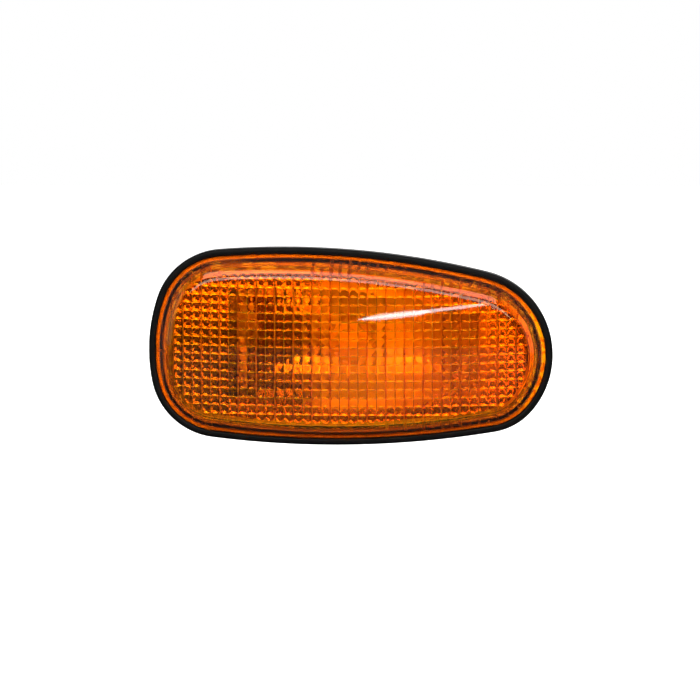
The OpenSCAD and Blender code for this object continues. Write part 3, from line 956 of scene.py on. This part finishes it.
class LAMP_OT_bulb(bpy.types.Operator):
    """Wedge-base bulb: glass, coiled filament and two leads"""
    bl_idname = "lamp.bulb"
    bl_label = "Bulb"

    def execute(self, context):
        glass = softened_copy("bulb_glass", GLASS_ROUND, GLASS_ANGLE)
        kept_inside(glass, "bulb_glass")
        finish_piece(glass, "holder", "clear_glass", glass_finish(), "bulb_glass")
        filament = filament_coil()
        smooth(filament, 60)
        kept_inside(filament, "bulb_filament")
        finish_piece(filament, "holder", "tungsten", tungsten_finish(), "bulb_filament")
        material = wire_finish()
        for node in ("bulb_lead_left", "bulb_lead_right"):
            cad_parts[node].data.materials.clear()
            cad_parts[node].data.materials.append(material)
        return {"FINISHED"}


# Stage

# Camera: angles in degrees, the sensor's width in mm, and distance, frame width and aim in metres
CAMERA_DISTANCE = 0.85
SENSOR = 36.0
CAMERA_AZIMUTH = 3.0
CAMERA_ELEVATION = 4.5
FRAME_WIDTH = 0.1807
AIM_RIGHT, AIM_UP = -0.000245, -0.00124

# Floor: its height and half width in metres, and its points each way
FLOOR_Z = -0.075
FLOOR_REACH, FLOOR_STEPS = 4.0, 24

# Brightness of the room. Reflections see it dim in front and pale behind, along a ramp in Y.
# Rays that pass through the lens see its passing level times each ramp, given as an axis, a
# start, a stop and the values there
ROOM_DIM, ROOM_PALE, ROOM_FILL, ROOM_PASSING = 0.012, 0.12, 0.4, 1.2
ROOM_RAMP = (-0.35, 0.15)
PASSING_RAMPS = (("X", -0.5, -0.15, 1.1, 1.0), ("X", 0.10, 0.28, 1.0, 0.03), ("Z", 0.0, 0.5, 1.0, 0.35))

# The floor's colour where it stays dark, and its glow for each kind of ray
DARK_FLOOR = (0.02, 0.02, 0.02)
SHADOW_GLOW, WHITE_GLOW, SHOWN_RAMP = 0.55, 1.0, (0.12, 0.5)
NEAR_GLOW, FAR_GLOW, NEAR_RAMP = 1.7, 0.04, (0.10, 0.17)
SIDE_GLOW, SIDE_RAMP = 0.1, (0.02, 0.10)
MIRRORED_GLOW, BEHIND_RAMP = 0.12, (0.0, 0.25)

# Tone of the large lamps in front and above
WARM = (1.0, 0.975, 0.93)


def area_lamp(name, place, width, depth, radiance, tone=(1, 1, 1), shape="RECTANGLE", turn=0.0,
              lens_only=False):
    """Lamp that faces the origin, with watts = radiance pi width depth. It may be turned about its
    own axis, by degrees, and may be seen only through the lens."""
    data = bpy.data.lights.new(name, "AREA")
    data.shape, data.size, data.size_y = shape, width, depth
    data.energy = radiance * math.pi * width * depth
    data.color = tone
    lamp = bpy.data.objects.new(name, data)
    lamp.location = place
    lamp.rotation_mode = "QUATERNION"
    lamp.rotation_quaternion = ((-Vector(place)).to_track_quat("-Z", "Y")
                                @ Quaternion((0, 0, 1), math.radians(turn)))
    lamp.visible_camera = False
    if lens_only:
        lamp.visible_glossy = lamp.visible_diffuse = False
    bpy.context.scene.collection.objects.link(lamp)
    return lamp


def light_studio():
    """Soft boxes above, beside and behind the lamp, two that are seen only through the lens and
    light the pillows, and two thin strips in front that draw the bright wedge on the lens."""
    area_lamp("top_box", (0, -1.0, 0.455), 1.5, 0.56, 3.5, WARM, "ELLIPSE")
    area_lamp("inner_box", (-0.10, -0.75, 0.52), 0.9, 0.40, 27.0, WARM, "ELLIPSE", lens_only=True)
    area_lamp("inner_right_box", (0.60, -0.55, 0.58), 0.5, 0.40, 16.0, WARM, "ELLIPSE", lens_only=True)
    area_lamp("overhead_box", (0, -0.42, 0.93), 1.3, 0.62, 2.6, WARM)
    area_lamp("front_strip", (0.145, -1.2, 0.0745), 0.39, 0.014, 10.0, shape="ELLIPSE", turn=12)
    area_lamp("front_strip_core", (0.052, -1.2, 0.053), 0.17, 0.028, 9.0, shape="ELLIPSE", turn=12)
    area_lamp("right_box", (1.0, -0.20, 0.25), 0.5, 0.6, 0.35)
    area_lamp("left_box", (-1.0, -0.20, 0.25), 0.5, 0.6, 0.35)
    area_lamp("rear_box", (0.2, 1.1, 0.60), 1.3, 0.7, 2.0)


def paint_world():
    """White for the camera. Reflections see a room that is dim in front and pale behind, and the
    rays that pass through the lens and the glass see a pale room that is darker on the right."""
    world = bpy.data.worlds.new("studio")
    bpy.context.scene.world = world
    world.use_nodes = True
    w = Nodes(world.node_tree)
    rays = w.rays()
    axes = w.axes(w.nodes.new("ShaderNodeTexCoord").outputs["Generated"])
    mirrored = w.spread(axes["Y"], ROOM_DIM, ROOM_PALE, *ROOM_RAMP)
    passing = ROOM_PASSING
    for axis, start, stop, low, high in PASSING_RAMPS:
        passing = w.product(passing, w.spread(axes[axis], low, high, start, stop))
    strength = w.pick(rays["Is Glossy Ray"], ROOM_FILL, mirrored)
    strength = w.pick(rays["Is Transmission Ray"], strength, passing)
    strength = w.pick(rays["Is Camera Ray"], strength, 1.0)
    w.put(w.nodes["Background"].inputs["Strength"], strength)
    w.nodes["Background"].inputs["Color"].default_value = (1, 1, 1, 1)


def floor_finish():
    """Pale matt floor with a faint mottle. The camera sees it white, with the lamp's shadow.
    Reflections see it dark in front and dim behind, and the rays that pass through the lens see it
    bright close by and dark further off and to the right."""
    c = tuple(colours().floor)
    f = Finish("pale_floor")
    f.rough(f.noise(60, 3), 0.75, 0.85)
    rays, axes = f.rays(), f.axes(f.place)
    behind = f.spread(axes["Y"], 0.0, 1.0, *BEHIND_RAMP)
    plain = f.product(behind, f.maths("SUBTRACT", 1.0, rays["Is Glossy Ray"]))
    mottle = f.mixed(f.spread(f.noise(14, 3), 0, 1), darker(c, 0.985), c)
    f.base(f.mixed(f.maths("MAXIMUM", rays["Is Camera Ray"], plain), DARK_FLOOR, mottle))
    far = f.nodes.new("ShaderNodeVectorMath")
    far.operation = "LENGTH"
    f.links.new(f.place, far.inputs[0])
    distance = far.outputs["Value"]
    passing = f.product(f.spread(distance, NEAR_GLOW, FAR_GLOW, *NEAR_RAMP),
                        f.spread(axes["X"], 1.0, SIDE_GLOW, *SIDE_RAMP))
    mirrored = f.product(behind, MIRRORED_GLOW, rays["Is Glossy Ray"])
    shown = f.spread(distance, SHADOW_GLOW, WHITE_GLOW, *SHOWN_RAMP)
    glow = f.pick(rays["Is Camera Ray"], mirrored, shown)
    f.shader.inputs["Emission Color"].default_value = (1, 1, 1, 1)
    f.put(f.shader.inputs["Emission Strength"], f.pick(rays["Is Transmission Ray"], glow, passing))
    return f.bump(f.noise(400, 3), 0.0002, 0.1).material


def studio_floor():
    """Flat square grid, 8 m wide, under the lamp."""
    place = np.linspace(-FLOOR_REACH, FLOOR_REACH, FLOOR_STEPS)
    x, y = np.meshgrid(place, place, indexing="ij")
    index = np.arange(x.size).reshape(x.shape)
    faces = np.stack([index[:-1, :-1], index[1:, :-1], index[1:, 1:], index[:-1, 1:]], -1)
    mesh = bpy.data.meshes.new("studio_floor")
    mesh.from_pydata(np.stack([x, y, np.full_like(x, FLOOR_Z)], -1).reshape(-1, 3).tolist(), [],
                     faces.reshape(-1, 4).tolist())
    floor = bpy.data.objects.new("studio_floor", mesh)
    bpy.context.scene.collection.objects.link(floor)
    mesh.materials.append(floor_finish())
    return floor


def photo_camera():
    """Camera almost square on to the front, a little to the right and above."""
    a, e = math.radians(CAMERA_AZIMUTH), math.radians(CAMERA_ELEVATION)
    back = Vector((math.sin(a) * math.cos(e), -math.cos(a) * math.cos(e), math.sin(e)))
    right = Vector((math.cos(a), math.sin(a), 0))
    data = bpy.data.cameras.new("photo_camera")
    data.sensor_width = SENSOR
    data.lens = SENSOR * CAMERA_DISTANCE / FRAME_WIDTH
    data.clip_start, data.clip_end = 0.05, 20.0
    camera = bpy.data.objects.new("photo_camera", data)
    camera.location = right * AIM_RIGHT + right.cross(-back) * AIM_UP + back * CAMERA_DISTANCE
    camera.rotation_mode = "QUATERNION"
    camera.rotation_quaternion = (-back).to_track_quat("-Z", "Y")
    bpy.context.scene.collection.objects.link(camera)
    return camera


class LAMP_OT_stage(bpy.types.Operator):
    """Pale floor, soft studio lamps and the camera"""
    bl_idname = "lamp.stage"
    bl_label = "Stage"

    def execute(self, context):
        studio_floor()
        paint_world()
        light_studio()
        context.scene.camera = photo_camera()
        context.scene.view_settings.view_transform = "Standard"
        return {"FINISHED"}


class LAMP_PT_panel(bpy.types.Panel):
    """Sidebar panel with the lamp's sizes, colours and building steps"""
    bl_idname = "LAMP_PT_panel"
    bl_label = "Side indicator lamp"
    bl_space_type = "VIEW_3D"
    bl_region_type = "UI"
    bl_category = "Lamp"

    def draw(self, context):
        column = self.layout.column()
        for group in (context.scene.lamp_sizes, context.scene.lamp_colours):
            for name in group.__annotations__:
                column.prop(group, name)
        for step in STEPS:
            column.operator(step.bl_idname)


STEPS = (LAMP_OT_stage, LAMP_OT_lens, LAMP_OT_seal, LAMP_OT_reflector, LAMP_OT_housing,
         LAMP_OT_holder, LAMP_OT_bulb)
CLASSES = (LampSizes, LampColours, *STEPS, LAMP_PT_panel)


def register():
    for item in CLASSES:
        bpy.utils.register_class(item)
    bpy.types.Scene.lamp_sizes = PointerProperty(type=LampSizes)
    bpy.types.Scene.lamp_colours = PointerProperty(type=LampColours)


def unregister():
    del bpy.types.Scene.lamp_colours
    del bpy.types.Scene.lamp_sizes
    for item in reversed(CLASSES):
        bpy.utils.unregister_class(item)


def main():
    """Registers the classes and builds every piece."""
    register()
    bpy.ops.lamp.stage()
    bpy.ops.lamp.lens()
    bpy.ops.lamp.seal()
    bpy.ops.lamp.reflector()
    bpy.ops.lamp.housing()
    bpy.ops.lamp.holder()
    bpy.ops.lamp.bulb()


if __name__ == "__main__":
    main()
